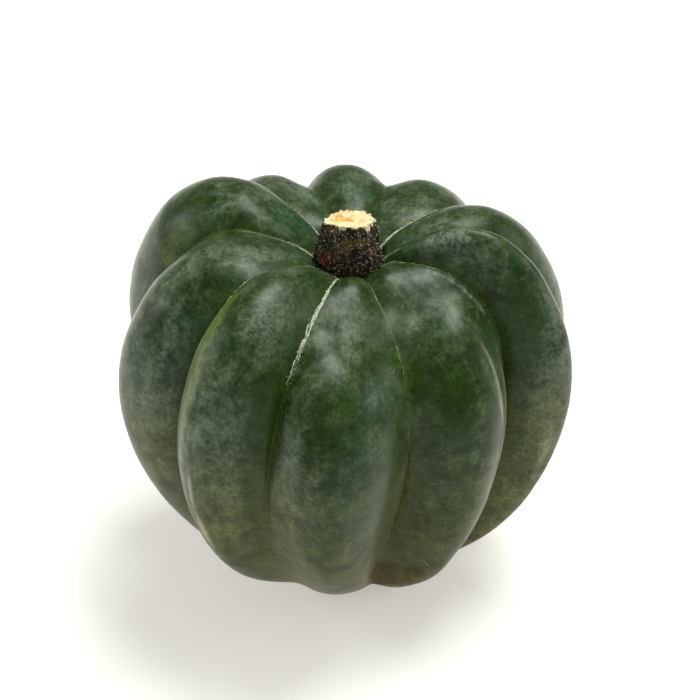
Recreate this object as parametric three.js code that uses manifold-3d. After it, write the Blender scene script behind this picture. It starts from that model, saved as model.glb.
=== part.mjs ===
// A dark green ribbed winter squash, standing on its blossom end with its cut stem up.
// Millimetres, +Z up. The origin is the middle of the blossom scar, on the surface it stands on.
// The fruit grew as one piece: ten lobes round a stem in a dimple, with a furrow between each two.
// The stem is a ridged woody stub, set in the dimple and cut off with a slightly tilted face.

import * as THREE from "three";
import { mergeVertices } from "three/addons/utils/BufferGeometryUtils.js";
import Module from "manifold-3d";

const wasm = await Module();
wasm.setup();

// The whole fruit
const MEAN_REACH = 66.5; // widest radius of an average lobe
const SETTLE = 1; // how far the lobes' feet are pressed flat where the fruit rests
const STEPS_ALONG = 36; // rings from the stem seat to the blossom scar
const STEPS_ACROSS = 10; // facets across one lobe

// The back of an average lobe, [radius, height], from the stem seat over the shoulder to the foot
const CREST_LINE = [
  [9.5, 114], [12, 118.5], [19.5, 121], [31.5, 121], [45, 118.8], [57.5, 108.5], [66, 90],
  [MEAN_REACH, 67], [60, 43], [48, 22.5], [33.5, 9.5], [20.5, 0.8], [12, 0.3], [7.5, 3.4],
];
// The bottom of an average furrow, at the same stations
const FURROW_LINE = [
  [8.5, 109], [9, 114.5], [17, 118.5], [35, 117], [47.5, 104.5], [52.5, 90.5], [54.5, 74],
  [52.5, 56], [45.5, 34], [35, 14.5], [26, 6], [18.5, 3], [12, 2.7], [7.5, 3.4],
];
// The edge of the corky blossom scar, [radius, height above the table]
const SCAR_LINE = [[6.8, 1.6], [6.3, 0.4], [5.6, 0]];

// Lobes anticlockwise from the front. Angles are degrees from +X, and -90 is the front.
// furrow: angle of the furrow on the lobe's clockwise side, at the shoulder
// drift: how far that furrow wanders round on its way down
// reach: the lobe's widest radius
// shoulder and flank: how much higher than the average it stands there
// depth: how deep that furrow is, against the average
// softness: how far that furrow opens into a soft valley lower down, from 0 to 1
const LOBES = [
  { furrow: -110, drift: -19, reach: 64, shoulder: -9.5, flank: 2, depth: 0.7, softness: 1 },
  { furrow: -67, drift: -11, reach: 57.5, shoulder: -9, flank: -2.5, depth: 1.5, softness: 1 },
  { furrow: -20, drift: -21.5, reach: 67, shoulder: 8.5, flank: -1, depth: 1.1, softness: 0.6 },
  { furrow: -1, drift: -4, reach: 66.5, shoulder: 6.5, flank: 0.5, depth: 0.85, softness: 0.6 },
  { furrow: 32, drift: 12, reach: 59.5, shoulder: 2, flank: 0, depth: 0.95, softness: 0.6 },
  { furrow: 72.5, drift: 10, reach: 60.5, shoulder: 2.5, flank: 0, depth: 0.95, softness: 0.6 },
  { furrow: 109, drift: 10, reach: 67, shoulder: 1, flank: 0, depth: 0.85, softness: 0.6 },
  { furrow: 135, drift: -2, reach: 73, shoulder: 11, flank: 0, depth: 0.95, softness: 0.6 },
  { furrow: 176.5, drift: -8, reach: 70, shoulder: 5.5, flank: -0.5, depth: 1.1, softness: 0.6 },
  { furrow: 214.5, drift: -5, reach: 68.5, shoulder: 6, flank: 1, depth: 0.9, softness: 0.7 },
];
const ROOTED = { within: 8, free: 34 }; // radii where the stem holds all shoulders level, and no longer
const SHOULDER = { at: 0.26, width: 0.185 }; // shares of the way from the seat to the scar
const FLANK = { at: 0.72, width: 0.14 };
const DRIFT_STILL_AT = 0.28; // where the furrow angles above are measured
const ALIKE = { within: 14, lost: 54 }; // radii where lobes are still alike, and fully their own
const LOBE_ROUNDNESS = 2.2; // 2 is a circular arc, and more is a flatter back
const CREASE = 0.78; // under 1 sharpens the furrow to a crease, as it is near the stem
const SOFTENS = { from: 0.36, to: 0.66 }; // the shares of the way over which the furrows open

// The stem stub
const STEM_FOOT_HEIGHT = 110.5; // its foot, sunk into the fruit
const STEM_HEIGHT = 19.2;
const STEM_STANDS = { x: -0.8, y: 0 };
const STEM_LEAN = { x: 0.8, y: 0 }; // how far the cut end stands off from above the foot
const STEM_FLARE = 1.37; // foot radius against the radius at the cut
const STEM_TAPER = 0.95; // under 1 keeps it thick for longer on its way up
// Its ridges at the cut: angle in degrees and radius
const STEM_RIDGES = [
  { angle: -112, radius: 7.3 }, { angle: -52, radius: 8.6 }, { angle: -3, radius: 8 },
  { angle: 64, radius: 7.5 }, { angle: 112, radius: 6.9 }, { angle: 197, radius: 8.2 },
];
const STEM_ROUNDNESS = 0.25; // 0 has flat sides between the ridges, and 1 round ones
const CUT_SLOPE = 0.24; // the cut face falls this much for each millimetre towards the back
const CUT_DISH = 0.8; // how deep its middle has dried in
const STEM_STEPS_PER_SIDE = 6;
const STEM_RINGS = 10;
const CUT_RINGS = 4;
const SEAT_CLEARANCE = 0.3; // gap between the stem and the fruit round it

const toRadians = (degrees) => (degrees * Math.PI) / 180;
const mix = (a, b, share) => a + (b - a) * share;
const clamp = (x, low, high) => Math.min(Math.max(x, low), high);
const swell = (share, { at, width }) => Math.exp(-(((share - at) / width) ** 2));

// A point on a smooth line through the stations, at a share of the way along it.
function alongLine(stations, share) {
  const x = clamp(share, 0, 1) * (stations.length - 1);
  const i = Math.min(Math.floor(x), stations.length - 2);
  const f = x - i;
  return [0, 1].map((axis) => {
    const [a, b, c, d] = [-1, 0, 1, 2].map((n) => stations[clamp(i + n, 0, stations.length - 1)][axis]);
    const [square, cube] = [2 * a - 5 * b + 4 * c - d, 3 * b - a - 3 * c + d];
    return 0.5 * (2 * b + (c - a) * f + square * f ** 2 + cube * f ** 3);
  });
}

// How much of a lobe's own size and furrow depth shows at a radius.
function unlike(radius) {
  return clamp((radius - ALIKE.within) / (ALIKE.lost - ALIKE.within), 0, 1);
}

// The average crest, made larger and lifted as one lobe, or the mean of two, asks.
function shapedCrest(along, reach, shoulder, flank) {
  const [r, z] = alongLine(CREST_LINE, along);
  const freedom = THREE.MathUtils.smoothstep(r, ROOTED.within, ROOTED.free);
  const lift = shoulder * freedom * swell(along, SHOULDER) + flank * swell(along, FLANK);
  return [r * mix(1, reach / MEAN_REACH, unlike(r)), z + lift];
}

// The bottom of the furrow between a lobe and the one before it.
function furrowPoint(lobe, before, along) {
  const mean = (key) => (lobe[key] + before[key]) / 2;
  const crest = shapedCrest(along, mean("reach"), mean("shoulder"), mean("flank"));
  const average = alongLine(CREST_LINE, along);
  const bottom = alongLine(FURROW_LINE, along);
  const depth = mix(1, lobe.depth, unlike(average[0]));
  return crest.map((value, axis) => value + (bottom[axis] - average[axis]) * depth);
}

// How far the rind stands out of the furrows, from 0 at a lobe's sides to 1 on its back.
// Across is -1 at its clockwise side and 1 at the other.
function lobeSection(across, along, softness) {
  const creased = (1 - Math.abs(across) ** LOBE_ROUNDNESS) ** CREASE;
  const soft = Math.cos((Math.PI / 2) * across) ** 2;
  const opened = clamp((along - SOFTENS.from) / (SOFTENS.to - SOFTENS.from), 0, 1);
  return mix(creased, soft, softness * opened);
}

// A point of the rind: across as above, along from 0 at the stem seat to 1 beside the blossom scar.
function rindPoint(index, across, along) {
  const count = LOBES.length;
  const [before, lobe, after] = [-1, 0, 1].map((n) => LOBES[(index + n + count) % count]);
  const share = (across + 1) / 2;
  const wander = along - DRIFT_STILL_AT;
  const start = lobe.furrow + lobe.drift * wander;
  const end = after.furrow + after.drift * wander + (index === count - 1 ? 360 : 0);
  const angle = toRadians(mix(start, end, share));
  const left = furrowPoint(lobe, before, along);
  const right = furrowPoint(after, lobe, along);
  const crest = shapedCrest(along, lobe.reach, lobe.shoulder, lobe.flank);
  const rise = lobeSection(across, along, mix(lobe.softness, after.softness, share));
  const [r, z] = [0, 1].map(
    (axis) => mix(left[axis], right[axis], share) + rise * (crest[axis] - (left[axis] + right[axis]) / 2),
  );
  return [r * Math.cos(angle), r * Math.sin(angle), Math.max(z - SETTLE, 0)];
}

// Closes rings of points, all of one length, into a solid with a pole at each end.
function solidOfRings(rings, firstPole, lastPole) {
  const around = rings[0].length;
  const points = [...rings.flat(), firstPole, lastPole].map((p) => new THREE.Vector3(...p));
  const [first, last] = [rings.length * around, rings.length * around + 1];
  const faces = [];
  for (let j = 0; j < around; j++) {
    const next = (j + 1) % around;
    const end = (rings.length - 1) * around;
    faces.push(first, next, j, last, end + j, end + next);
    for (let i = 0; i < rings.length - 1; i++) {
      const [near, far] = [i * around, (i + 1) * around];
      const [a, b, c, d] = [near + j, near + next, far + next, far + j];
      // each four-sided patch is folded along its shorter diagonal
      if (points[a].distanceTo(points[c]) < points[b].distanceTo(points[d])) faces.push(a, b, c, a, c, d);
      else faces.push(a, b, d, b, c, d);
    }
  }
  const geometry = new THREE.BufferGeometry().setFromPoints(points);
  geometry.setIndex(faces);
  return geometry;
}

// The fruit without its socket, from the blossom scar up to a lid under the stem
function rindGeometry() {
  const rings = SCAR_LINE.map(([r, z]) =>
    LOBES.flatMap((_, index) =>
      Array.from({ length: STEPS_ACROSS }, (_, j) => {
        const [x, y] = rindPoint(index, acrossAt(j), 1);
        const scale = r / Math.hypot(x, y);
        return [x * scale, y * scale, z];
      }),
    ),
  ).reverse();
  for (let i = STEPS_ALONG; i >= 0; i--) {
    const along = i / STEPS_ALONG;
    rings.push(
      LOBES.flatMap((_, index) =>
        Array.from({ length: STEPS_ACROSS }, (_, j) => rindPoint(index, acrossAt(j), along)),
      ),
    );
  }
  return solidOfRings(rings, [0, 0, 0], [0, 0, CREST_LINE[0][1] - SETTLE]);
}

// Facets are narrower beside the furrows, where the rind turns in.
function acrossAt(step) {
  return Math.sin((Math.PI / 2) * ((2 * step) / STEPS_ACROSS - 1));
}

// The stem's radius at the cut, on the side that starts at one ridge, at a share of the way to the next.
function sideRadius(ridge, share) {
  const next = STEM_RIDGES[(ridge + 1) % STEM_RIDGES.length];
  const { angle, radius } = STEM_RIDGES[ridge];
  const span = toRadians((next.angle - angle + 360) % 360);
  const bend = radius * Math.sin(span * share) + next.radius * Math.sin(span * (1 - share));
  const flat = (radius * next.radius * Math.sin(span)) / bend;
  return [toRadians(angle) + span * share, mix(flat, mix(radius, next.radius, share), STEM_ROUNDNESS)];
}

// The stem. The grown form stands outside the true one all over, and cuts the fruit's socket.
function stemGeometry(grow) {
  const point = (ridge, share, up, inset) => {
    const [angle, atCut] = sideRadius(ridge, share);
    const r = (atCut * mix(1, STEM_FLARE, (1 - up) ** STEM_TAPER) + grow) * inset;
    const [x, y] = [r * Math.cos(angle) + STEM_LEAN.x * up, r * Math.sin(angle) + STEM_LEAN.y * up];
    const height = STEM_HEIGHT - CUT_SLOPE * y - CUT_DISH * (1 - inset ** 2);
    return [STEM_STANDS.x + x, STEM_STANDS.y + y, STEM_FOOT_HEIGHT - grow + (height + grow) * up];
  };
  const shares = Array.from({ length: STEM_STEPS_PER_SIDE }, (_, j) => j / STEM_STEPS_PER_SIDE);
  const ring = (up, inset) =>
    STEM_RIDGES.flatMap((_, ridge) => shares.map((share) => point(ridge, share, up, inset)));
  const rings = [];
  for (let i = 0; i <= STEM_RINGS; i++) rings.push(ring(i / STEM_RINGS, 1));
  for (let i = 1; i < CUT_RINGS; i++) rings.push(ring(1, 1 - i / CUT_RINGS));
  return solidOfRings(rings, [STEM_STANDS.x, STEM_STANDS.y, STEM_FOOT_HEIGHT - grow], point(0, 0, 1, 0));
}

function toManifold(geometry) {
  const merged = mergeVertices(geometry, 1e-4);
  return new wasm.Manifold(
    new wasm.Mesh({
      numProp: 3,
      vertProperties: merged.attributes.position.array,
      triVerts: new Uint32Array(merged.index.array),
    }),
  );
}

function fromManifold(solid) {
  const mesh = solid.getMesh();
  const geometry = new THREE.BufferGeometry();
  geometry.setAttribute("position", new THREE.BufferAttribute(mesh.vertProperties, 3));
  geometry.setIndex(new THREE.BufferAttribute(mesh.triVerts, 1));
  geometry.computeVertexNormals();
  return geometry;
}

const rind = new THREE.MeshStandardMaterial({ color: 0x36482c, roughness: 0.45, metalness: 0 });
const bark = new THREE.MeshStandardMaterial({ color: 0x3a3420, roughness: 0.9, metalness: 0 });

const fruitSolid = toManifold(rindGeometry()).subtract(toManifold(stemGeometry(SEAT_CLEARANCE)));
const fruit = new THREE.Mesh(fromManifold(fruitSolid), rind);
fruit.name = "fruit";

const stem = new THREE.Mesh(stemGeometry(0), bark);
stem.name = "stem";

const squash = new THREE.Group();
squash.add(fruit, stem);

export default squash;
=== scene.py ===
import math
import bpy
import numpy as np
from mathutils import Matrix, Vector, noise


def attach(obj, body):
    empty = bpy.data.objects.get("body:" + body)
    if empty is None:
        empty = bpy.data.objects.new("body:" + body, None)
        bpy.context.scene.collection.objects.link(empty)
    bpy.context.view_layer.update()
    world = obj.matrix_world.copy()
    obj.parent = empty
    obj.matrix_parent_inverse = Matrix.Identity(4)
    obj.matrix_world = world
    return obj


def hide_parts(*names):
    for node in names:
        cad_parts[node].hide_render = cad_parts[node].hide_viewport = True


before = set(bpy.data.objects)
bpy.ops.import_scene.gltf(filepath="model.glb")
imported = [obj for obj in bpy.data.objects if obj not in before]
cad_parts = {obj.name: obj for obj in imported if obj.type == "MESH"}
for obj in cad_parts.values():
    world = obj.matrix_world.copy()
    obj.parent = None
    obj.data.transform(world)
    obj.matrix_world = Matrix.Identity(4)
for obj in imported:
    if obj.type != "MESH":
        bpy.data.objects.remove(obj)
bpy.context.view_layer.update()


# Camera: a long lens well above the squash, looking down on its shoulders and into the dimple
# round the stem.
MM = 0.001
CAMERA_ELEVATION = math.radians(38.4)
CAMERA_DISTANCE = 800
CAMERA_TARGET = (0.21, 0, 80.75)
SENSOR_WIDTH = 36
LENS = 135.9
NEAREST, FURTHEST = 0.05, 20

camera = bpy.data.objects.new("camera", bpy.data.cameras.new("camera"))
bpy.context.scene.collection.objects.link(camera)
bpy.context.scene.camera = camera
camera.data.sensor_width = SENSOR_WIDTH
camera.data.lens = LENS
camera.data.clip_start, camera.data.clip_end = NEAREST, FURTHEST
towards_camera = Vector((0, -math.cos(CAMERA_ELEVATION), math.sin(CAMERA_ELEVATION)))
camera.location = (Vector(CAMERA_TARGET) + towards_camera * CAMERA_DISTANCE) * MM
camera.rotation_mode = "QUATERNION"
camera.rotation_quaternion = towards_camera.to_track_quat("Z", "Y")


# The rind: one skin over the whole fruit, hard, smooth and waxy. It swelled into ten lobes between
# the strands that run from the stem to the blossom scar, so each two lobes meet in a furrow.
MEAN_REACH = 66.5
SETTLE = 1
# Lines from the stem dimple to the blossom scar, and over the scar, as pairs of radius and height
CREST_LINE = [
    (9.5, 114), (12, 118.5), (19.5, 121), (31.5, 121), (45, 118.8), (57.5, 108.5), (66, 90),
    (MEAN_REACH, 67), (60, 43), (48, 22.5), (33.5, 9.5), (20.5, 0.8), (12, 0.3), (7.5, 3.4),
]
FURROW_LINE = [
    (8.5, 109), (9, 114.5), (17, 118.5), (35, 117), (47.5, 104.5), (52.5, 90.5), (54.5, 74),
    (52.5, 56), (45.5, 34), (35, 14.5), (26, 6), (18.5, 3), (12, 2.7), (7.5, 3.4),
]
SCAR_LINE = [(6.8, 1.6), (6.3, 0.4), (5.6, 0), (4.2, 0), (2.1, 0)]
# One row for each lobe, anticlockwise from the front one: the angle of its clockwise furrow and how
# far it drifts, in degrees, three lengths, its furrow's depth as a share of usual, and its softness
ANGLE, DRIFT, REACH, SHOULDER_LIFT, FLANK_LIFT, FURROW_DEPTH, SOFTNESS = range(7)
LOBES = np.array([
    (-110, -19, 64, -9.5, 2, 0.7, 1),
    (-67, -11, 57.5, -9, -2.5, 1.5, 1),
    (-20, -21.5, 67, 8.5, -1, 1.1, 0.6),
    (-1, -4, 66.5, 6.5, 0.5, 0.85, 0.6),
    (32, 12, 59.5, 2, 0, 0.95, 0.6),
    (72.5, 10, 60.5, 2.5, 0, 0.95, 0.6),
    (109, 10, 67, 1, 0, 0.85, 0.6),
    (135, -2, 73, 11, 0, 0.95, 0.6),
    (176.5, -8, 70, 5.5, -0.5, 1.1, 0.6),
    (214.5, -5, 68.5, 6, 1, 0.9, 0.7),
])
LOBE_COUNT = len(LOBES)
FRONT, FRONT_RIGHT, RIGHT, BACK_RIGHT, BEHIND_RIGHT = range(0, 5)
BACK, BEHIND_LEFT, BACK_LEFT, LEFT, FRONT_LEFT = range(5, 10)
# Places along a lobe, as shares of the way down: middle and width of its shoulder and its flank
SHOULDER = (0.26, 0.185)
FLANK = (0.72, 0.14)
DRIFT_STILL_AT = 0.28
SOFT_FROM, SOFT_TO = 0.36, 0.66
# Radii between which a shoulder's lift sets in, and between which reach and furrow depth do
ROOTED = (8, 34)
ALIKE = (14, 54)
LOBE_ROUNDNESS = 2.2
CREASE = 0.78
LOBE_FACETS = 32
RIND_RINGS = 286
SEAT_HEIGHT = 111
# Lumps in the rind, as pairs of size and height
RIND_LUMPS = [(30, 0.5), (11, 0.16), (4, 0.04)]
EVEN_BELOW = 6
# Where the colours change: lengthwise grain, low on the lobes, near the foot, in the furrows
LINE_LENGTH = 230
GRAIN_STRETCH = 7
LOW_FROM, LOW_SPAN = 92, 60
FOOT_HEIGHT = 26
VALLEY_WIDTH, VALLEY_WIDENING = 0.02, 0.1
# The dimple round the stem is painted a darker wet green, partly the rind's colour and partly painted
# shade
DIMPLE = (0, 0.07)
DIMPLE_GREEN_AND_SHADE = 0.8
DEEP_GREEN = (0.011, 0.029, 0.003)
MID_GREEN = (0.026, 0.048, 0.009)
EMERALD = (0.009, 0.048, 0.016)
WET_GREEN = (0.013, 0.036, 0.0005)
HIGH_VALLEY = (0.035, 0.058, 0.007)
LOW_VALLEY = (0.086, 0.084, 0.014)
YELLOW_GREEN = (0.085, 0.130, 0.008)
# Painted highlight: the wax high on the lobes is painted bluish, like the softbox's highlight on their
# shoulders
HIGH_WAX_AND_HIGHLIGHT = (0.106, 0.144, 0.104)
LOW_WAX = (0.118, 0.118, 0.040)
OLIVE = (0.044, 0.050, 0.004)
FOOT_BROWN = (0.116, 0.086, 0.024)
# Scurf grey, painted bluish like the highlights on the shoulders
SCURF_AND_HIGHLIGHT_GREY = (0.25, 0.31, 0.25)
# Painted reflection: cream, the colour of the rim of light along the lobes' lower edges
CREAM_WAX_AND_RIM = (0.40, 0.38, 0.26)
SCUFF_GREY = (0.20, 0.23, 0.15)
DARK_CORK = (0.06, 0.038, 0.018)
PALE_CORK = (0.24, 0.17, 0.085)


def along_line(stations, share):
    """Points on a smooth line through the stations, at shares of the way along it."""
    stations = np.array(stations, float)
    x = np.clip(share, 0, 1) * (len(stations) - 1)
    i = np.minimum(x.astype(int), len(stations) - 2)
    f = (x - i)[..., None]
    a, b, c, d = (stations[np.clip(i + n, 0, len(stations) - 1)] for n in (-1, 0, 1, 2))
    bend = 2 * a - 5 * b + 4 * c - d
    twist = 3 * b - a - 3 * c + d
    return 0.5 * (2 * b + (c - a) * f + bend * f**2 + twist * f**3)


def swell(share, at, width):
    """A smooth hump, 1 at its middle."""
    return np.exp(-(((share - at) / width) ** 2))


def unlike(radius):
    """How much of their own shape the lobes have at this radius, from 0 to 1."""
    return np.clip((radius - ALIKE[0]) / (ALIKE[1] - ALIKE[0]), 0, 1)


def shaped_crest(along, own):
    """Radii and heights of the crest of a lobe that has its own row of values."""
    reach, shoulder, flank = (own[..., column] for column in (REACH, SHOULDER_LIFT, FLANK_LIFT))
    r, z = np.moveaxis(along_line(CREST_LINE, along), -1, 0)
    free = np.clip((r - ROOTED[0]) / (ROOTED[1] - ROOTED[0]), 0, 1)
    lift = shoulder * free**2 * (3 - 2 * free) * swell(along, *SHOULDER) + flank * swell(along, *FLANK)
    return np.stack([r * (1 + (reach / MEAN_REACH - 1) * unlike(r)), z + lift], -1)


def furrow_point(lobe, along):
    """The bottom of the furrow on a lobe's clockwise side."""
    between = (LOBES[lobe % LOBE_COUNT] + LOBES[(lobe - 1) % LOBE_COUNT]) / 2
    average = along_line(CREST_LINE, along)
    depth = 1 + (LOBES[lobe % LOBE_COUNT, FURROW_DEPTH] - 1) * unlike(average[..., 0])
    crest = shaped_crest(along, between)
    return crest + (along_line(FURROW_LINE, along) - average) * depth[..., None]


def furrow_angle(lobe, along):
    """Degrees round the stem to the furrow on a lobe's clockwise side."""
    drift = LOBES[lobe % LOBE_COUNT, DRIFT] * (along - DRIFT_STILL_AT)
    return LOBES[lobe % LOBE_COUNT, ANGLE] + drift + 360 * (lobe // LOBE_COUNT)


def rind_smooth(place, along):
    """Points of the even rind. Place counts lobes: 0 is the first furrow, 0.5 the front lobe's crest."""
    place, along = np.broadcast_arrays(np.asarray(place, float), np.asarray(along, float))
    lobe = np.floor(place).astype(int)
    share = place - lobe
    across = 2 * share - 1
    creased = (1 - np.abs(across) ** LOBE_ROUNDNESS) ** CREASE
    soft = np.cos(math.pi / 2 * across) ** 2
    own_softness, next_softness = (LOBES[n % LOBE_COUNT, SOFTNESS] for n in (lobe, lobe + 1))
    softness = own_softness + (next_softness - own_softness) * share
    softness = softness * np.clip((along - SOFT_FROM) / (SOFT_TO - SOFT_FROM), 0, 1)
    rise = creased + (soft - creased) * softness
    start, end = furrow_angle(lobe, along), furrow_angle(lobe + 1, along)
    angle = np.radians(start + (end - start) * share)
    left, right = furrow_point(lobe, along), furrow_point(lobe + 1, along)
    crest = shaped_crest(along, LOBES[lobe % LOBE_COUNT])
    section = left + (right - left) * share[..., None] + rise[..., None] * (crest - (left + right) / 2)
    r, z = np.moveaxis(section, -1, 0)
    return np.stack([r * np.cos(angle), r * np.sin(angle), np.maximum(z - SETTLE, 0)], -1)


def rind_normals(points):
    """Outward directions of a closed grid of rings of points."""
    round_it = np.roll(points, -1, 1) - np.roll(points, 1, 1)
    down_it = np.gradient(points, axis=0)
    out = np.cross(down_it, round_it)
    return out / np.maximum(np.linalg.norm(out, axis=-1, keepdims=True), 1e-9)


def lumps(points, sizes):
    """Smooth uneven heights in millimetres at the points, from pairs of size and height."""
    flat = points.reshape(-1, 3)
    total = np.zeros(len(flat))
    for n, (size, height) in enumerate(sizes):
        shift = Vector((31.7 * n, 11.3 * n, 5.9 * n))
        total += [height * noise.noise(Vector(p) + shift) for p in flat / size]
    return total.reshape(points.shape[:-1])


def make_piece(name, points, faces, finish, attributes={}):
    """A smooth mesh from points in millimetres, riding on the whole squash."""
    mesh = bpy.data.meshes.new(name)
    mesh.from_pydata((np.asarray(points) * MM).tolist(), [], faces)
    mesh.shade_smooth()
    for title, values in attributes.items():
        kind = "FLOAT" if np.ndim(values) == 1 else "FLOAT_VECTOR"
        data = mesh.attributes.new(title, kind, "POINT").data
        data.foreach_set("value" if kind == "FLOAT" else "vector", np.asarray(values, np.float32).ravel())
    mesh.materials.append(finish.material)
    piece = bpy.data.objects.new(name, mesh)
    bpy.context.scene.collection.objects.link(piece)
    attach(piece, "root")
    return piece


def ring_faces(rings, around):
    """Four-sided faces between closed rings of points that are numbered ring by ring."""
    starts = [i * around for i in range(rings - 1)]
    steps = [(j, (j + 1) % around) for j in range(around)]
    return [(at + j, at + around + j, at + around + k, at + k) for at in starts for j, k in steps]


class Value:
    """A number or colour that a material's nodes work out. Arithmetic on a number adds Math nodes."""

    def __init__(self, finish, socket):
        self.finish, self.socket = finish, socket

    def math(self, operation, first, second):
        return self.finish.node("ShaderNodeMath", {"operation": operation}, {0: first, 1: second})

    def __add__(self, other):
        return self.math("ADD", self, other)

    def __sub__(self, other):
        return self.math("SUBTRACT", self, other)

    def __rsub__(self, other):
        return self.math("SUBTRACT", other, self)

    def __mul__(self, other):
        return self.math("MULTIPLY", self, other)

    __radd__, __rmul__ = __add__, __mul__

    def rising(self, low, high):
        """0 up to low, 1 from high on, with a smooth ramp between them."""
        settings = {"interpolation_type": "SMOOTHSTEP", "clamp": True}
        return self.finish.node("ShaderNodeMapRange", settings, {0: self, 1: low, 2: high})


class Finish:
    """A material, and the calls that add its nodes. Sizes are in millimetres."""

    def __init__(self, name, **constants):
        self.material = bpy.data.materials.new(name)
        self.material.use_nodes = True
        self.tree = self.material.node_tree
        self.shader = self.tree.nodes["Principled BSDF"]
        for socket, value in constants.items():
            self.shader.inputs[socket.replace("_", " ")].default_value = value
        place = self.node("ShaderNodeTexCoord", {}, {}, "Object")
        self.place = self.scaled(place, 1 / MM)

    def node(self, kind, settings, inputs, output=0):
        """Adds a node: its type, its settings, and the values or links of its sockets."""
        made = self.tree.nodes.new(kind)
        for key, value in settings.items():
            setattr(made, key, value)
        for key, value in inputs.items():
            if isinstance(value, Value):
                self.tree.links.new(value.socket, made.inputs[key])
            else:
                made.inputs[key].default_value = value
        return Value(self, made.outputs[output])

    def noise(self, size, detail, seed, rough=0.55, at=None):
        """Cloudy noise from 0 to 1, about 0.5 on average."""
        inputs = {"Vector": at or self.place, "W": seed, "Scale": 1 / size}
        inputs |= {"Detail": detail, "Roughness": rough}
        return self.node("ShaderNodeTexNoise", {"noise_dimensions": "4D"}, inputs)

    def spots(self, size, seed):
        """Distance from the nearest of many scattered dots, in shares of their spacing."""
        inputs = {"Vector": self.place, "W": seed, "Scale": 1 / size, "Randomness": 1.0}
        return self.node("ShaderNodeTexVoronoi", {"voronoi_dimensions": "4D"}, inputs, "Distance")

    def painted(self, title, output="Fac"):
        """What was laid on the mesh point by point under this title."""
        return self.node("ShaderNodeAttribute", {"attribute_name": title}, {}, output)

    def blend(self, share, first, second):
        """Between two colours."""
        first, second = (c if isinstance(c, Value) else (*c, 1) for c in (first, second))
        return self.node("ShaderNodeMix", {"data_type": "RGBA"}, {0: share, 6: first, 7: second}, 2)

    def scaled(self, vector, amount):
        """A place in other units, or a colour made lighter or darker."""
        return self.node("ShaderNodeVectorMath", {"operation": "SCALE"}, {0: vector, "Scale": amount})

    def wear(self, **values):
        """Joins worked-out values to the shader's own sockets."""
        for socket, value in values.items():
            self.tree.links.new(value.socket, self.shader.inputs[socket.replace("_", " ")])

    def relief(self, height, depth):
        """Small unevenness, depth millimetres for each 1 of height."""
        self.wear(Normal=self.node("ShaderNodeBump", {}, {"Height": height, "Distance": depth * MM}))


# Grey-white wax that has settled on the rind, and painted highlights where the softbox shines on the
# lobes' shoulders: place, along, half width in lobes, half length, strength
BLOOM_AND_HIGHLIGHTS = [
    (FRONT + 0.40, 0.215, 0.22, 0.07, 1.0), (FRONT + 0.26, 0.50, 0.16, 0.06, 0.5),
    (FRONT + 0.15, 0.47, 0.10, 0.07, 0.9), (FRONT + 0.50, 0.63, 0.30, 0.05, 0.3),
    (FRONT + 0.17, 0.57, 0.10, 0.06, 0.6), (FRONT_RIGHT + 0.64, 0.17, 0.25, 0.035, 0.65),
    (FRONT_RIGHT + 0.62, 0.26, 0.20, 0.06, 0.55), (FRONT_RIGHT + 0.33, 0.22, 0.10, 0.02, 0.5),
    (FRONT_RIGHT + 0.45, 0.62, 0.30, 0.06, 0.25), (FRONT_RIGHT + 0.85, 0.55, 0.15, 0.12, 0.6),
    (RIGHT + 0.42, 0.22, 0.30, 0.05, 1.0), (RIGHT + 0.48, 0.20, 0.16, 0.05, 1.0),
    (RIGHT + 0.24, 0.28, 0.15, 0.04, 0.5), (RIGHT + 0.30, 0.57, 0.16, 0.10, 1.0),
    (RIGHT + 0.34, 0.54, 0.22, 0.12, 1.0), (RIGHT + 0.75, 0.50, 0.3, 0.12, 0.6),
    (BACK_RIGHT + 0.25, 0.19, 0.25, 0.05, 0.4), (BACK_RIGHT + 0.5, 0.50, 0.4, 0.14, 0.8),
    (BEHIND_RIGHT + 0.36, 0.22, 0.3, 0.06, 0.5), (BEHIND_RIGHT + 0.5, 0.48, 0.35, 0.14, 0.7),
    (BACK + 0.5, 0.20, 0.28, 0.07, 0.8), (BACK + 0.45, 0.48, 0.35, 0.14, 0.8),
    (BEHIND_LEFT + 0.43, 0.23, 0.3, 0.05, 0.6), (BEHIND_LEFT + 0.5, 0.5, 0.35, 0.12, 0.7),
    (BACK_LEFT + 0.35, 0.19, 0.25, 0.04, 0.5), (BACK_LEFT + 0.70, 0.235, 0.22, 0.05, 0.6),
    (BACK_LEFT + 0.4, 0.5, 0.35, 0.13, 0.8), (LEFT + 0.48, 0.30, 0.20, 0.06, 0.8),
    (LEFT + 0.66, 0.21, 0.20, 0.06, 0.9), (LEFT + 0.80, 0.37, 0.12, 0.03, 0.6),
    (LEFT + 0.76, 0.49, 0.26, 0.09, 1.0), (LEFT + 0.2, 0.5, 0.3, 0.14, 0.6),
    (FRONT_LEFT + 0.68, 0.30, 0.20, 0.05, 1.0), (FRONT_LEFT + 0.62, 0.43, 0.22, 0.06, 0.8),
    (FRONT_LEFT + 0.68, 0.57, 0.28, 0.08, 0.9), (FRONT_LEFT + 0.45, 0.52, 0.10, 0.12, 0.6),
]
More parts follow.
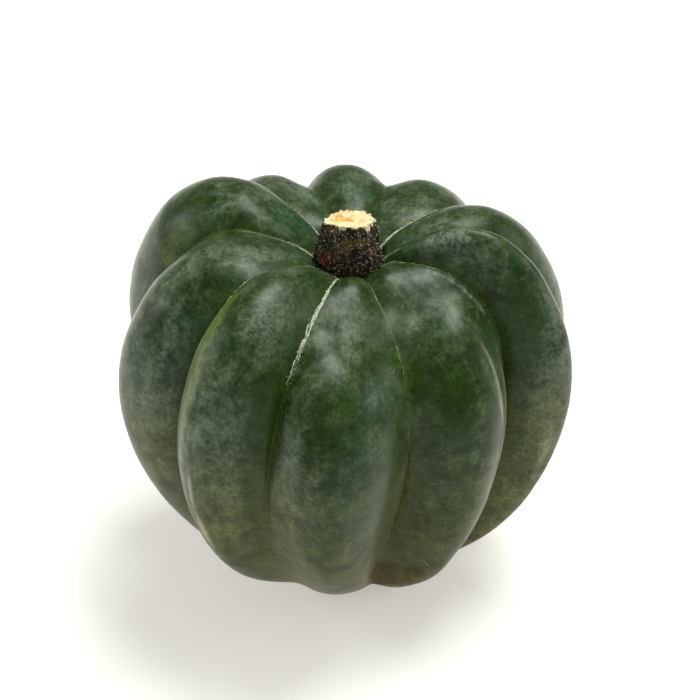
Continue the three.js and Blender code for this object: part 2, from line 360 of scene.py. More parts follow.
# Pale scurf beside the seams and on the upper edges of the lobes, and painted highlights on the shoulders
# of the right and front-left lobes, given in the same way
SCURF_AND_HIGHLIGHTS = [
    (FRONT, 0.12, 0.020, 0.07, 0.5), (FRONT + 0.03, 0.25, 0.030, 0.07, 0.4),
    (BEHIND_RIGHT + 0.01, 0.11, 0.050, 0.09, 1.0), (BACK_RIGHT, 0.10, 0.030, 0.06, 0.6),
    (BACK, 0.08, 0.040, 0.06, 0.6), (BEHIND_LEFT, 0.09, 0.030, 0.06, 0.5),
    (BACK_LEFT, 0.11, 0.035, 0.09, 0.7), (LEFT, 0.11, 0.035, 0.08, 0.8),
    (FRONT_LEFT, 0.14, 0.030, 0.09, 0.6), (RIGHT, 0.10, 0.030, 0.05, 0.5),
    (FRONT_RIGHT + 0.95, 0.25, 0.022, 0.08, 0.6), (RIGHT + 0.45, 0.22, 0.22, 0.04, 0.55),
    (FRONT_LEFT + 0.66, 0.31, 0.16, 0.03, 0.35),
]
# Cream wax on the flanks, given in the same way. Most of it is a painted reflection, the pale rim of
# light along the lower edges of the lobes, and painted light where the low flanks catch light from the
# table
WAX_AND_RIM_LIGHT = [
    (FRONT_LEFT + 0.36, 0.41, 0.035, 0.03, 0.4), (FRONT_LEFT + 0.42, 0.47, 0.045, 0.04, 0.6),
    (FRONT_LEFT + 0.46, 0.53, 0.045, 0.04, 0.85), (FRONT_LEFT + 0.50, 0.59, 0.045, 0.04, 0.85),
    (FRONT_RIGHT + 0.69, 0.40, 0.030, 0.05, 0.5), (FRONT_RIGHT + 0.70, 0.46, 0.030, 0.05, 0.65),
    (FRONT_RIGHT + 0.75, 0.52, 0.030, 0.05, 0.65), (FRONT_RIGHT + 0.82, 0.59, 0.030, 0.06, 0.65),
    (LEFT + 0.80, 0.46, 0.20, 0.07, 0.2), (RIGHT + 0.30, 0.57, 0.20, 0.10, 0.3),
    (BACK_RIGHT + 0.90, 0.45, 0.05, 0.10, 0.3), (BEHIND_RIGHT + 0.10, 0.50, 0.05, 0.10, 0.3),
    (BACK + 0.92, 0.52, 0.05, 0.12, 0.3), (BACK_LEFT + 0.12, 0.48, 0.05, 0.10, 0.3),
]
# Rind that has kept its wet-looking deep green, given in the same way. The patch on the right lobe beside
# the front-right lobe is painted shade, where that lobe shades it
BARE_AND_SHADED = [
    (FRONT_LEFT + 0.93, 0.385, 0.13, 0.07, 1.0), (FRONT_LEFT + 0.90, 0.22, 0.10, 0.08, 0.6),
    (FRONT_LEFT + 0.90, 0.51, 0.08, 0.06, 0.8), (FRONT_LEFT + 0.45, 0.39, 0.12, 0.03, 0.4),
    (FRONT + 0.92, 0.27, 0.12, 0.10, 0.6), (FRONT + 0.49, 0.37, 0.16, 0.04, 0.6),
    (FRONT + 0.60, 0.52, 0.20, 0.05, 0.4), (FRONT + 0.82, 0.48, 0.12, 0.12, 0.8),
    (FRONT_RIGHT + 0.12, 0.315, 0.09, 0.045, 1.0), (FRONT_RIGHT + 0.34, 0.40, 0.18, 0.07, 0.7),
    (FRONT_RIGHT + 0.10, 0.50, 0.12, 0.10, 0.5), (RIGHT + 0.17, 0.38, 0.18, 0.07, 1.0),
    (RIGHT + 0.60, 0.36, 0.18, 0.06, 0.5), (LEFT + 0.70, 0.40, 0.12, 0.05, 0.5),
    (BACK_LEFT + 0.80, 0.33, 0.22, 0.08, 0.8), (BEHIND_RIGHT + 0.8, 0.3, 0.15, 0.09, 0.6),
    (BACK + 0.85, 0.36, 0.15, 0.09, 0.6), (BEHIND_LEFT + 0.15, 0.32, 0.15, 0.09, 0.6),
]
# Rind that ripened to yellow green where a neighbouring lobe shaded it, given in the same way
LIME = [
    (FRONT_LEFT + 0.16, 0.30, 0.09, 0.04, 1.0), (FRONT_LEFT + 0.24, 0.36, 0.10, 0.05, 1.0),
    (FRONT_LEFT + 0.31, 0.42, 0.09, 0.05, 1.0), (FRONT_LEFT + 0.34, 0.50, 0.05, 0.06, 0.5),
    (FRONT_RIGHT + 0.82, 0.275, 0.07, 0.04, 0.4), (FRONT_RIGHT + 0.93, 0.48, 0.05, 0.12, 0.4),
    (BACK_LEFT + 0.90, 0.33, 0.14, 0.10, 0.5), (BACK_RIGHT + 0.06, 0.5, 0.07, 0.12, 0.5),
    (BACK + 0.05, 0.44, 0.07, 0.14, 0.6), (BEHIND_LEFT + 0.95, 0.4, 0.07, 0.12, 0.6),
]


def patches(listed, place, along):
    """How strongly the listed patches cover each point, from 0 to 1."""
    clear = np.ones_like(place)
    for at, down, half_width, half_length, strength in listed:
        aside = (place - at + LOBE_COUNT / 2) % LOBE_COUNT - LOBE_COUNT / 2
        clear *= 1 - strength * np.exp(-((aside / half_width) ** 2) - ((along - down) / half_length) ** 2)
    return 1 - clear


# The points of a ring stand closer together beside the furrows than on the crests
even = np.arange(LOBE_FACETS) / LOBE_FACETS
shares = 0.5 * even + 0.5 * (0.5 - 0.5 * np.cos(math.pi * even))
places = (np.arange(LOBE_COUNT)[:, None] + shares).ravel()
alongs = np.linspace(0, 1, RIND_RINGS)
place, along = np.broadcast_arrays(places, alongs[:, None])
skin = rind_smooth(place, along)
fade = np.clip(skin[..., 2] / EVEN_BELOW, 0, 1)
skin = skin + rind_normals(skin) * (lumps(skin, RIND_LUMPS) * fade)[..., None]
skin[..., 2] = np.maximum(skin[..., 2], 0)
last_radii = np.hypot(*skin[-1, :, :2].T)
scar = [skin[-1] * (r / last_radii)[:, None] * (1, 1, 0) + (0, 0, z) for r, z in SCAR_LINE]
rings = np.concatenate([skin, scar])
around = len(places)
point_count = len(rings) * around
corky = np.concatenate([np.zeros(skin.shape[:2]), np.ones((len(scar), around))]).ravel()
place, along = (np.concatenate([v, np.repeat(v[-1:], len(scar), 0)]) for v in (place, along))
from_furrow = np.sin(math.pi * place) ** 2
way = np.arctan2(rings[..., 1], rings[..., 0])
lengthwise = LINE_LENGTH * along / GRAIN_STRETCH
grain = np.stack([MEAN_REACH * np.cos(way), MEAN_REACH * np.sin(way), lengthwise], -1)
how_low = np.clip((LOW_FROM - rings[..., 2]) / LOW_SPAN, 0, 1)
valley = np.exp(-from_furrow / (VALLEY_WIDTH + VALLEY_WIDENING * how_low))
near_foot = np.exp(-((rings[..., 2] / FOOT_HEIGHT) ** 2))
# Deep wet green, with painted shade in the dimple round the stem and on the right lobe's flank
kept_green_and_shade = np.maximum(patches(BARE_AND_SHADED, place, along), DIMPLE_GREEN_AND_SHADE * swell(along, *DIMPLE))
poles = [(0, 0, SEAT_HEIGHT - SETTLE), (0, 0, 0)]


def with_poles(values, top, bottom):
    """A list of what each point has, with the middle points at the top and at the bottom added."""
    return np.concatenate([values.reshape(point_count, *values.shape[2:]), [top, bottom]])


top_pole, bottom_pole, last_ring = point_count, point_count + 1, point_count - around
rind_faces = ring_faces(len(rings), around)
rind_faces += [(top_pole, j, (j + 1) % around) for j in range(around)]
rind_faces += [(bottom_pole, last_ring + (j + 1) % around, last_ring + j) for j in range(around)]

rind = Finish(
    "waxy rind", Specular_IOR_Level=0.15, Coat_Roughness=0.24, Coat_IOR=1.26,
    Sheen_Weight=0.22, Sheen_Roughness=0.22, Sheen_Tint=(1, 0.94, 0.66, 1),
)
cloud = rind.noise(size=17, detail=5, seed=1, rough=0.6)
mottle = rind.noise(size=5, detail=5, seed=2, rough=0.65)
fine = rind.noise(size=1.1, detail=4, seed=3, rough=0.7)
drawn_out = rind.noise(size=3.2, detail=3, seed=4, rough=0.6, at=rind.painted("grain", "Vector"))
clouding = (cloud - 0.5) * 1.4 + (mottle - 0.5) * 1.5 + (drawn_out - 0.5) * 1.3 + (fine - 0.5) * 0.8
# Wax cover, with the painted highlights on the shoulders in it
wax_and_highlight = (rind.painted("bloom_and_highlight") * 0.85 + clouding).rising(-0.1, 1.2)
# Deep wet green, and the painted shade laid on with it
bare_and_shaded = (rind.painted("bare_and_shaded") + (cloud - 0.5) * 0.9 + (mottle - 0.5) * 0.6).rising(0.2, 0.8)
lime = (rind.painted("lime") + (mottle - 0.5) * 0.5 + (drawn_out - 0.5) * 0.4).rising(0.2, 0.9)
brown = (rind.painted("foot") + (mottle - 0.5) * 0.35 + (cloud - 0.5) * 0.3).rising(0.3, 0.95)
emerald = rind.noise(size=14, detail=3, seed=8, rough=0.5).rising(0.5, 0.68)
groove = rind.painted("groove")
lowness = rind.painted("low")
skin_green = rind.blend(mottle.rising(0.3, 0.7), DEEP_GREEN, MID_GREEN)
skin_green = rind.blend(emerald * 0.6, skin_green, EMERALD)
skin_green = rind.blend(bare_and_shaded * (1 - wax_and_highlight * 0.3), skin_green, WET_GREEN)
valley_green = rind.blend(lowness, HIGH_VALLEY, LOW_VALLEY)
skin_green = rind.blend(groove * 0.7, skin_green, valley_green)
skin_green = rind.blend(lime * 0.85, skin_green, YELLOW_GREEN)
# Wax colour, painted bluer high up as a highlight tint
wax_colour_and_highlight = rind.blend(lowness.rising(-0.1, 0.6), HIGH_WAX_AND_HIGHLIGHT, LOW_WAX)
waxed = rind.blend(wax_and_highlight * (1 - bare_and_shaded * 0.92) * (1 - groove * 0.7) * 0.85, skin_green, wax_colour_and_highlight)
waxed = rind.blend(lowness * 0.5, waxed, OLIVE)
waxed = rind.blend(brown * 0.75, waxed, FOOT_BROWN)
waxed = rind.scaled(waxed, 1 + (fine - 0.5) * 2.2 + (mottle - 0.5) * 1.6)
# Scurf, and the painted highlights listed with it
scurf_and_highlight = (rind.painted("scurf_and_highlight") + (fine - 0.5) * 1.2 + (mottle - 0.5) * 0.6).rising(0.15, 1.0)
waxed = rind.blend(scurf_and_highlight * 0.85, waxed, SCURF_AND_HIGHLIGHT_GREY)
# Cream wax and the painted rim light along the lobes' edges
wax_and_rim = (rind.painted("wax_and_rim_light") + (drawn_out - 0.5) * 1.2 + (fine - 0.5) * 0.5).rising(0.2, 1.0)
waxed = rind.blend(wax_and_rim * 0.85, waxed, CREAM_WAX_AND_RIM)
pores = 1 - rind.spots(size=1.5, seed=1).rising(0.05, 0.17)
scuffs = rind.noise(size=2.4, detail=6, seed=7, rough=0.75).rising(0.56, 0.70)
flecked = rind.blend(pores * 0.2 + scuffs * fine.rising(0.45, 0.6) * 0.2, waxed, SCUFF_GREY)
cracks = rind.spots(size=1.8, seed=2).rising(0.1, 0.5)
cork = rind.blend(cracks, DARK_CORK, PALE_CORK)
is_cork = rind.painted("corky")
rind.wear(
    Base_Color=rind.blend(is_cork, flecked, cork),
    Roughness=0.34 + wax_and_highlight * 0.16 + fine * 0.12 + brown * 0.1 + is_cork * 0.3 - bare_and_shaded * 0.06,
    Coat_Weight=(0.45 - lowness * 0.32 + (mottle - 0.5) * 1.1 + (fine - 0.5) * 0.6) * (1 - groove * 0.7),
)
rind.relief(mottle * 1.1 + fine * 0.35 + drawn_out * 0.5 - pores * 0.12 + cracks * is_cork, depth=0.12)

fruit = make_piece(
    "fruit_rind", with_poles(rings, *poles), rind_faces, rind,
    {
        "bloom_and_highlight": with_poles(patches(BLOOM_AND_HIGHLIGHTS, place, along), 0, 0),
        "bare_and_shaded": with_poles(kept_green_and_shade, 1, 0),
        "lime": with_poles(patches(LIME, place, along), 0, 0),
        "scurf_and_highlight": with_poles(patches(SCURF_AND_HIGHLIGHTS, place, along), 0, 0),
        "wax_and_rim_light": with_poles(patches(WAX_AND_RIM_LIGHT, place, along), 0, 0),
        "groove": with_poles(valley, 0, 0),
        "foot": with_poles(near_foot, 0, 1),
        "low": with_poles(how_low, 0, 1),
        "corky": np.concatenate([corky, [0, 1]]),
        "grain": with_poles(grain, (0, 0, 0), (0, 0, LINE_LENGTH / GRAIN_STRETCH)),
    },
)
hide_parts("fruit")


# The seams: where two lobes met, the skin tore in thin lines as they swelled and healed with pale
# cork. They are strongest beside the stem. Fine scratches elsewhere on the rind have healed alike.
# Each seam: furrow, where it starts and ends along the furrow, strand width, how broken, strands
SEAMS = [
    (FRONT, 0.06, 0.33, 0.50, 0.20, 3), (FRONT_RIGHT, 0.13, 0.27, 0.08, 0.5, 1),
    (RIGHT, 0.06, 0.22, 0.22, 0.5, 1), (BACK_RIGHT, 0.05, 0.17, 0.30, 0.4, 2),
    (BEHIND_RIGHT, 0.04, 0.22, 0.50, 0.25, 4), (BACK, 0.05, 0.16, 0.28, 0.4, 2),
    (BEHIND_LEFT, 0.06, 0.15, 0.25, 0.4, 2), (BACK_LEFT, 0.05, 0.19, 0.30, 0.3, 2),
    (LEFT, 0.06, 0.16, 0.30, 0.4, 2), (FRONT_LEFT, 0.07, 0.30, 0.30, 0.3, 2),
]
STRAND_SPREAD = 0.009
STRAND_SHORTENING = 0.3
STRAND_WANDER = 0.016
SEAM_STEP = 0.35
SEAM_HEIGHT = 0.16
SEAM_TAPER_STEPS = 12
THINNEST, WIDEST = 0.05, 1.5
LENGTH_SAMPLES = 40
# How often a strand wobbles, breaks and is nicked over a whole furrow, each with its seed
WOBBLES, PATCHES, NICKS = (70, 0), (150, 5), (700, 9)
# Scratches: how many, on what stretch of the rind, of how many steps, and a step round and down
SCRATCHES = 24
SCRATCHED = (0.25, 0.78)
SCRATCH_STEPS = (7, 18)
SCRATCH_STEP = (0.012, 0.0019)
SCRATCH_CURL = 0.05
SCRATCH_WIDTH, SCRATCH_HEIGHT = 0.08, 0.03
SCRATCH_TAPER_STEPS, SCRATCH_TIP = 3, 0.1
# Crumbs of cork beside the strands, for each strand of a seam
CRUMBS = 90
CRUMB_SPREAD = 0.011
CRUMB_LEAN = 0.4
CRUMB_LENGTHS = (0.05, 0.2)
CRUMB_SHARES_OF_WIDTH = (0.2, 0.75)
SPIKE_SIDES = 5
SPIKE_ROOT = 0.12
RIBBON_ROOT = 0.08
RIBBON_CROWN = 0.4
GREEN_CORK, WHITE_CORK = (0.16, 0.19, 0.11), (0.62, 0.64, 0.53)
chance = np.random.default_rng(11)


def on_rind(place, along):
    """Points on the uneven rind and the directions straight out of it."""
    nudges = ((0, 0), (0.004, 0), (0, 0.002))
    middle, beside, below = (rind_smooth(place + a, along + b) for a, b in nudges)
    out = np.cross(below - middle, beside - middle)
    out /= np.linalg.norm(out, axis=-1, keepdims=True)
    return middle + out * lumps(middle, RIND_LUMPS)[:, None], out


def ribbon(route, widths, height):
    """A low rounded strip lying on the rind along a route of places and alongs."""
    middle, out = on_rind(*route.T)
    ahead = np.gradient(middle, axis=0)
    side = np.cross(out, ahead)
    side /= np.linalg.norm(side, axis=1, keepdims=True)
    half = side * (widths / 2)[:, None]
    lift = out * (height * np.minimum(widths / widths.max(), 1))[:, None]
    root = out * RIBBON_ROOT
    crown = half * RIBBON_CROWN
    left, right = middle - half - root, middle + half - root
    return np.stack([left, middle - crown + lift, middle + crown + lift, right], 1)


def tapered(steps, taper_steps, least):
    """Shares of a strip's width, narrowing towards both ends."""
    from_ends = np.minimum(np.arange(steps), steps - 1 - np.arange(steps))
    return np.clip(from_ends / taper_steps, least, 1)


def spike(foot, out, length, radius):
    """A thin cone standing on a foot point."""
    out = out / np.linalg.norm(out)
    askew = (0.3, 0.5, 0.81)
    side = np.cross(out, askew)
    side /= np.linalg.norm(side)
    other = np.cross(out, side)
    turns = np.arange(SPIKE_SIDES) * 2 * math.pi / SPIKE_SIDES
    circle = np.cos(turns)[:, None] * side + np.sin(turns)[:, None] * other
    return np.concatenate([foot - out * SPIKE_ROOT + radius * circle, [foot + out * length]])


def spike_faces(count, first):
    """The sides of a count of spikes whose points follow one another from the first on."""
    starts = range(first, first + count * (SPIKE_SIDES + 1), SPIKE_SIDES + 1)
    sides = [(k, (k + 1) % SPIKE_SIDES) for k in range(SPIKE_SIDES)]
    return [(start + j, start + k, start + SPIKE_SIDES) for start in starts for j, k in sides]


def strand_noise(downs, strand_line, times, seed):
    """Noise along one strand of a seam, which keeps to a line of its own in the noise."""
    return np.array([noise.noise(Vector((strand_line, d * times, seed))) for d in downs])


strips = []
for furrow, start, end, width, broken, strands in SEAMS:
    for strand_number in range(strands):
        low_end = start + (end - start) * (1 - STRAND_SHORTENING * strand_number / strands)
        bed = rind_smooth(furrow, np.linspace(start, low_end, LENGTH_SAMPLES))
        steps = int(np.linalg.norm(np.diff(bed, axis=0), axis=1).sum() / SEAM_STEP)
        downs = np.linspace(start, low_end, steps)
        strand_line = furrow * 7.1 + strand_number * 3.3
        wobble = strand_noise(downs, strand_line, *WOBBLES)
        patch = strand_noise(downs, strand_line, *PATCHES)
        nicks = strand_noise(downs, strand_line, *NICKS)
        fullness = np.clip(0.9 + 1.7 * (patch - broken + 0.35) + 0.9 * nicks, THINNEST, WIDEST)
        widths = width * tapered(steps, SEAM_TAPER_STEPS, 0) * fullness
        apart = STRAND_SPREAD * (strand_number - (strands - 1) / 2)
        route = np.stack([furrow + apart + STRAND_WANDER * wobble, downs], 1)
        strips.append(ribbon(route, widths, SEAM_HEIGHT))
for _ in range(SCRATCHES):
    at = np.array([chance.uniform(0, LOBE_COUNT), chance.uniform(*SCRATCHED)])
    heading, curl = chance.uniform(0, 2 * math.pi), chance.normal(0, SCRATCH_CURL)
    steps = chance.integers(*SCRATCH_STEPS)
    headings = heading + curl * np.arange(steps)
    route = at + np.cumsum(np.stack([np.cos(headings), np.sin(headings)], 1) * SCRATCH_STEP, axis=0)
    widths = SCRATCH_WIDTH * tapered(steps, SCRATCH_TAPER_STEPS, SCRATCH_TIP)
    strips.append(ribbon(route, widths, SCRATCH_HEIGHT))

seam_points, seam_faces = [], []
for strip in strips:
    first = sum(len(p) for p in seam_points)
    seam_points.append(strip.reshape(-1, 3))
    corners = [first + 4 * i + k for i in range(len(strip) - 1) for k in range(3)]
    seam_faces += [(c, c + 1, c + 5, c + 4) for c in corners]

crumbs = []
for furrow, start, end, width, broken, strands in SEAMS:
    amount = CRUMBS * strands
    downs = start + (end - start) * chance.uniform(0, 1, amount)
    feet, outs = on_rind(furrow + chance.normal(0, CRUMB_SPREAD, amount), downs)
    for foot, out in zip(feet, outs):
        radius = width * chance.uniform(*CRUMB_SHARES_OF_WIDTH)
        lean = chance.normal(0, CRUMB_LEAN, 3)
        crumbs.append(spike(foot, out + lean, chance.uniform(*CRUMB_LENGTHS), radius))
first = sum(len(p) for p in seam_points)
seam_points += crumbs
seam_faces += spike_faces(len(crumbs), first)

healed = Finish("healed cork", Specular_IOR_Level=0.3)
crumbly = healed.noise(size=0.5, detail=4, seed=1, rough=0.7)
healed.wear(
    Base_Color=healed.blend(crumbly.rising(0.38, 0.60), GREEN_CORK, WHITE_CORK),
    Roughness=0.7 + crumbly * 0.2,
)
healed.relief(crumbly, depth=0.1)
make_piece("healed_seams", np.concatenate(seam_points), seam_faces, healed)


# The stem: a woody stub with six blunt ridges, cut from the vine a finger's breadth above the
# fruit. Its bark is dark, rough and prickly, and the knife has left a pale, ragged, dished face.
STEM_FOOT_HEIGHT = 110.5
STEM_HEIGHT = 19.2
STEM_STANDS = (-0.8, 0)
STEM_LEAN = (0.8, 0)
STEM_FLARE = 1.37
STEM_TAPER = 0.95
# The ridges at the cut, as pairs of angle and radius
STEM_RIDGES = [(-112, 7.3), (-52, 8.6), (-3, 8), (64, 7.5), (112, 6.9), (197, 8.2)]
STEM_ROUNDNESS = 0.25
CUT_SLOPE = 0.24
CUT_DISH = 0.8
STEM_FACETS = 44
STEM_RINGS = 120
CUT_RINGS = 26
RIM_GIRTH = 7
# Unevenness round the rim, as rows of how close its waves stand, their height and their seed
TEAR_SWELLS, TEAR_NICKS = (1, 0.9, 3), (1.7, 0.9, 9)
RIM_WAVES, RIM_TEETH = (0.55, 0.9, 20), (1.3, 0.5, 40)
# Fibres in the bark, raised and coloured: how fine round the stem, and how drawn out along it
RAISED_FIBRE = (9, 0.16)
COLOURED_FIBRE = (7, 0.15)
# Lumps in the bark and pits in the cut, as rows of size, height and seed
FIBRE_HEIGHT, FIBRE_SEED = 0.55, 60
BARK_LUMPS = [(1.6, 0.45, 80), (0.7, 0.22, 90)]
CUT_PITS = [(2.2, 0.35, 120), (0.8, 0.16, 140)]
# Torn bark: its depth, how smooth it is, the height over which it ends, and the least tear
TORN_DEPTH = 0.45
TORN_SMOOTHNESS = 0.5
TORN_EDGE = 0.35
LEAST_TEAR = 0.05
# How far the bark has torn away below the cut, as pairs of angle and millimetres
TEARS = [
    (-180, 0.2), (-140, 0.25), (-122, 0.5), (-112, 1.3), (-104, 0.9), (-92, 0.25), (-66, 0.2),
    (-58, 0.7), (-53, 2.0), (-46, 2.3), (-40, 1.7), (-34, 0.4), (-8, 0.9), (20, 0.4), (60, 1.1),
    (95, 0.3), (120, 1.0), (160, 0.3), (180, 0.2),
]
# Painted shade: the bark is painted near-black at its foot, down in the dimple round the stem: over what
# share of its height that fades, and how late it starts to
FOOT_SHADE_FADE, FOOT_SHADE_START = 0.2, 0.4
# A red scar on the bark: its angle, its share of the way up, and its size
RED_SCAR = (-138, 0.42, 3.0)
DARK_BARK_AND_FOOT_SHADE, BROWN_BARK = (0.005, 0.005, 0.003), (0.078, 0.055, 0.014)
FIBRE_BROWN = (0.070, 0.058, 0.024)
SCAR_RED = (0.115, 0.020, 0.005)
PIP_CREAM = (0.60, 0.52, 0.36)
FRESH_CUT, BROWNED_CUT = (0.74, 0.60, 0.34), (0.58, 0.30, 0.07)
PITH = (0.72, 0.64, 0.42)
DARK_PITS = (0.26, 0.14, 0.045)


def stem_outline():
    """Angles and radii at the cut, all the way round."""
    angles, radii = [], []
    for (angle, radius), (far_angle, far_radius) in zip(STEM_RIDGES, STEM_RIDGES[1:] + STEM_RIDGES[:1]):
        span = math.radians((far_angle - angle) % 360)
        share = np.arange(STEM_FACETS) / STEM_FACETS
        bend = radius * np.sin(span * share) + far_radius * np.sin(span * (1 - share))
        flat = radius * far_radius * math.sin(span) / bend
        angles.append(math.radians(angle) + span * share)
        radii.append(flat + (radius + (far_radius - radius) * share - flat) * STEM_ROUNDNESS)
    return np.concatenate(angles), np.concatenate(radii)


def stem_noise(points, seed):
    """Smooth noise at each of the points, different for each seed."""
    flat = [noise.noise(Vector(p) + Vector((seed, 0, 0))) for p in points.reshape(-1, 3)]
    return np.array(flat).reshape(points.shape[:-1])


turn, at_cut = stem_outline()
stem_around = len(turn)
outward = np.stack([np.cos(turn), np.sin(turn), turn * 0], -1)
degrees = (np.degrees(turn) + 180) % 360 - 180


def round_rim(closeness, height, seed):
    """Uneven heights all the way round the rim."""
    return height * stem_noise(outward * RIM_GIRTH * closeness, seed)


tear = np.interp(degrees, *zip(*TEARS)) * (1 + round_rim(*TEAR_SWELLS)) + round_rim(*TEAR_NICKS)
tear = np.maximum(tear, LEAST_TEAR)
ragged = round_rim(*RIM_WAVES) + round_rim(*RIM_TEETH)


def stem_shell(up, inset):
    """One ring of the stub: up from the foot to the cut, inset from its bark to its middle."""
    r = at_cut * (1 + (STEM_FLARE - 1) * (1 - up) ** STEM_TAPER) * inset
    x, y = r * np.cos(turn) + STEM_LEAN[0] * up, r * np.sin(turn) + STEM_LEAN[1] * up
    height = STEM_HEIGHT - CUT_SLOPE * y - CUT_DISH * (1 - inset**2) + ragged * inset**4
    return np.stack([STEM_STANDS[0] + x, STEM_STANDS[1] + y, STEM_FOOT_HEIGHT + height * up], -1)


bark_rings = np.array([stem_shell(up, 1.0) for up in np.linspace(0, 1, STEM_RINGS)])
cut_rings = np.array([stem_shell(1.0, 1 - i / CUT_RINGS) for i in range(1, CUT_RINGS)])
below_rim = bark_rings[-1, :, 2] - bark_rings[..., 2]


def fibres(rings, girth, stretch):
    """Places for noise that is drawn out up the stem."""
    return outward * girth + rings[..., 2:] * (0, 0, stretch)


rough = FIBRE_HEIGHT * stem_noise(fibres(bark_rings, *RAISED_FIBRE), FIBRE_SEED)
for size, height, seed in BARK_LUMPS:
    rough = rough + height * stem_noise(bark_rings / size, seed)
torn = np.clip((tear - below_rim) / TORN_EDGE + 0.5, 0, 1)
bark_rings = bark_rings + outward * (rough * (1 - TORN_SMOOTHNESS * torn) - TORN_DEPTH * torn)[..., None]
pits = sum(height * stem_noise(cut_rings / size, seed) for size, height, seed in CUT_PITS)
cut_rings[..., 2] += pits
stem_rings = np.concatenate([bark_rings, cut_rings])
stem_count = len(stem_rings) * stem_around
middle_of_cut = stem_rings[-1].mean(0)
stem_points = np.concatenate([stem_rings.reshape(-1, 3), [middle_of_cut]])
innermost = stem_count - stem_around
stem_faces = [f[::-1] for f in ring_faces(len(stem_rings), stem_around)]
stem_faces += [(stem_count, innermost + j, innermost + (j + 1) % stem_around) for j in range(stem_around)]
stem_faces += [tuple(range(stem_around))[::-1]]

on_bark, on_cut = np.zeros(bark_rings.shape[:2]), np.ones(cut_rings.shape[:2])
pale = np.concatenate([torn, on_cut])
inwards = np.concatenate([on_bark, on_cut * np.arange(1, CUT_RINGS)[:, None] / CUT_RINGS])
up_bark = np.clip(1 - below_rim / STEM_HEIGHT, 0, 1)
# Painted shade: 0 at the stem's foot, where it is painted near-black, 1 clear of it
clear_of_foot_shade = np.concatenate([np.clip(up_bark / FOOT_SHADE_FADE - FOOT_SHADE_START, 0, 1), on_cut])
red_angle, red_up, red_size = RED_SCAR
red_at = bark_rings[int(red_up * STEM_RINGS), np.abs(degrees - red_angle).argmin()]
red = np.exp(-((np.linalg.norm(stem_rings - red_at, axis=-1) / red_size) ** 2))
fibre = fibres(stem_rings, *COLOURED_FIBRE).reshape(-1, 3)


def stem_values(values, last):
    """A list of what each point has, with the middle of the cut added."""
    return np.concatenate([values.ravel(), [last]])


bark = Finish("prickly bark", Specular_IOR_Level=0.3)
grit = bark.noise(size=0.9, detail=5, seed=1, rough=0.7)
blotch = bark.noise(size=3.5, detail=4, seed=2, rough=0.6)
streak = bark.noise(size=0.8, detail=3, seed=3, rough=0.6, at=bark.painted("fibre", "Vector"))
pips = 1 - bark.spots(size=1.0, seed=4).rising(0.17, 0.27)
is_pale = (bark.painted("pale") + (grit - 0.5) * 0.8).rising(0.4, 0.6)
is_red = (bark.painted("red") + (grit - 0.5) * 0.5).rising(0.35, 0.7)
above_foot_shade = bark.painted("clear_of_foot_shade")
# Painted shade at the stem's foot: near-black bark there, with no pale pips
crust = bark.blend(blotch.rising(0.44, 0.64) * above_foot_shade, DARK_BARK_AND_FOOT_SHADE, BROWN_BARK)
crust = bark.blend(streak.rising(0.55, 0.8) * 0.3, crust, FIBRE_BROWN)
crust = bark.blend(is_red * 0.9, crust, SCAR_RED)
crust = bark.blend(pips * grit.rising(0.36, 0.50) * above_foot_shade * 0.95, crust, PIP_CREAM)
browned = bark.noise(size=3.2, detail=4, seed=5, rough=0.6).rising(0.46, 0.60)
pitted = bark.noise(size=0.8, detail=3, seed=6).rising(0.58, 0.68)
flesh = bark.blend(browned, FRESH_CUT, BROWNED_CUT)
flesh = bark.blend((1 - bark.painted("inwards").rising(0.04, 0.30)) * 0.7, flesh, PITH)
flesh = bark.blend(pitted * 0.75, flesh, DARK_PITS)
bark.wear(
    Base_Color=bark.blend(is_pale, crust, flesh),
    Roughness=0.62 + grit * 0.3,
)
bark.relief(grit * 1.0 + streak * 0.6 + pips * 0.5 + blotch * 0.5, depth=0.28)

stem = make_piece(
    "stem_stub", stem_points, stem_faces, bark,
    {
        "pale": stem_values(pale, 1),
        "inwards": stem_values(inwards, 1),
        "red": stem_values(red, 0),
        "clear_of_foot_shade": stem_values(clear_of_foot_shade, 1),
        "fibre": np.concatenate([fibre, [(0, 0, 0)]]),
    },
)
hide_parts("stem")


# The prickles: short stiff whitish hairs with swollen feet, all over the bark of the stub and
# thinner on the rind close to it. Many have broken off near the foot.
PRICKLES = 1100
PRICKLE_LENGTHS, PRICKLE_RADII = (0.08, 0.3), (0.08, 0.24)
PRICKLE_LEAN = 0.35
BARE_RINGS_AT_ENDS = 8
TORN_BARE = 0.3
# Whole ones, which stand on the ridges: how far off a ridge, in steps of its outline
LONG_PRICKLES = 300
LONG_LENGTHS, LONG_RADIUS = (0.4, 1.3), 0.09
LONG_LEAN = 1.4
OFF_RIDGE = 5
# Loose ones on the rind, in the furrows near the stem: how far aside, and from where and how far down
FLECKS = 320
FLECKED = [BEHIND_RIGHT, BEHIND_RIGHT, BACK_RIGHT, BACK, FRONT, FRONT_LEFT, LEFT, BACK_LEFT]
FLECKS_ASIDE = 0.09
FLECKS_FROM, FLECKS_DOWN = 0.03, 0.07
FLECK_LENGTHS, FLECK_RADII = (0.1, 0.55), (0.05, 0.1)
FLECK_LEAN = 0.6
HORN_BROWN, HORN_WHITE = (0.22, 0.18, 0.10), (0.66, 0.61, 0.48)

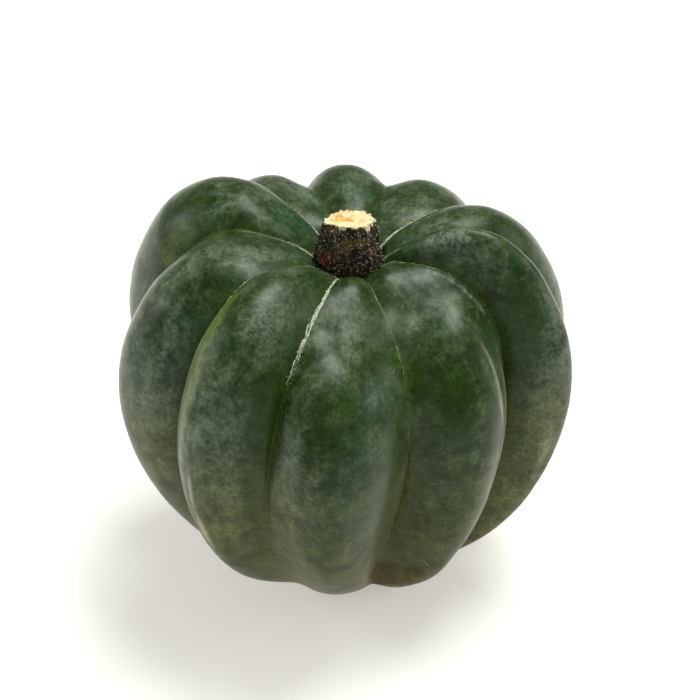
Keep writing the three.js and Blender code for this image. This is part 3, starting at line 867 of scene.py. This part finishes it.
spikes = []
for n in range(PRICKLES + LONG_PRICKLES):
    ring_number = chance.integers(BARE_RINGS_AT_ENDS, STEM_RINGS - BARE_RINGS_AT_ENDS)
    j = chance.integers(stem_around)
    if n >= PRICKLES:
        ridge = chance.integers(len(STEM_RIDGES)) * STEM_FACETS
        j = int(ridge + chance.normal(0, OFF_RIDGE)) % stem_around
    if torn[ring_number, j] > TORN_BARE:
        continue
    foot = bark_rings[ring_number, j]
    lean = chance.normal(0, PRICKLE_LEAN, 3)
    if n < PRICKLES:
        length, radius = chance.uniform(*PRICKLE_LENGTHS), chance.uniform(*PRICKLE_RADII)
        spikes.append(spike(foot, outward[j] + lean, length, radius))
    else:
        length = chance.uniform(*LONG_LENGTHS)
        spikes.append(spike(foot, outward[j] + lean * LONG_LEAN, length, LONG_RADIUS))
furrows = chance.choice(FLECKED, FLECKS)
fleck_places = furrows + chance.normal(0, FLECKS_ASIDE, FLECKS)
feet, outs = on_rind(fleck_places, FLECKS_FROM + abs(chance.normal(0, FLECKS_DOWN, FLECKS)))
for foot, out in zip(feet, outs):
    lean = chance.normal(0, FLECK_LEAN, 3)
    length, radius = chance.uniform(*FLECK_LENGTHS), chance.uniform(*FLECK_RADII)
    spikes.append(spike(foot, out + lean, length, radius))

horn = Finish("pale prickles", Specular_IOR_Level=0.4)
tint = horn.noise(size=1.2, detail=2, seed=1)
horn.wear(
    Base_Color=horn.blend(tint.rising(0.35, 0.65), HORN_BROWN, HORN_WHITE),
    Roughness=0.5 + tint * 0.3,
)
make_piece("stem_prickles", np.concatenate(spikes), spike_faces(len(spikes), 0), horn)


# The studio: a pale table with a faint glow of its own, under a big softbox that hangs behind the
# squash and to its right, with a weak fill on each side, in an evenly lit room. Lengths are in metres.
FLOOR_RADIUS = 3
FLOOR_SIDES = 96
FLOOR_DROP = 0.0002
FLOOR_GLOW = (1, 0.98, 0.93, 1)
FLOOR_GREY, FLOOR_WHITE = (0.80, 0.80, 0.79), (0.83, 0.83, 0.82)
SOFTBOX_AIM = (0, 0, 0.07)
ROOM_COLOUR, ROOM_STRENGTH = (1, 0.97, 0.90, 1), 0.4

bpy.ops.mesh.primitive_circle_add(
    vertices=FLOOR_SIDES, radius=FLOOR_RADIUS, fill_type="NGON", location=(0, 0, -FLOOR_DROP)
)
floor = bpy.context.object
floor.name = "floor"
paper = Finish("lit table", Specular_IOR_Level=0.2, Emission_Color=FLOOR_GLOW, Emission_Strength=0.4)
tooth = paper.noise(size=2.0, detail=4, seed=1)
paper.wear(
    Base_Color=paper.blend(tooth, FLOOR_GREY, FLOOR_WHITE),
    Roughness=0.8 + tooth * 0.1,
)
floor.data.materials.append(paper.material)


def softbox(name, at, size, power, colour=(1, 1, 1)):
    """A flat soft light of this width and height, turned towards the squash."""
    lamp = bpy.data.lights.new(name, "AREA")
    lamp.color = colour
    lamp.shape, lamp.size, lamp.size_y = "RECTANGLE", *size
    lamp.energy = power
    holder = bpy.data.objects.new(name, lamp)
    bpy.context.scene.collection.objects.link(holder)
    holder.location = at
    holder.rotation_mode = "QUATERNION"
    holder.rotation_quaternion = (Vector(at) - Vector(SOFTBOX_AIM)).to_track_quat("Z", "Y")


softbox("overhead softbox", at=(0.22, 0.22, 1.08), size=(0.60, 0.50), power=13, colour=(0.95, 1, 0.93))
softbox("left fill", at=(-1.3, 0.1, 0.5), size=(0.6, 0.6), power=4)
softbox("right fill", at=(1.3, 0.1, 0.5), size=(0.6, 0.6), power=3)

world = bpy.data.worlds.new("studio")
world.use_nodes = True
room = world.node_tree.nodes["Background"].inputs
room["Color"].default_value = ROOM_COLOUR
room["Strength"].default_value = ROOM_STRENGTH
bpy.context.scene.world = world
bpy.context.scene.view_settings.view_transform = "Standard"
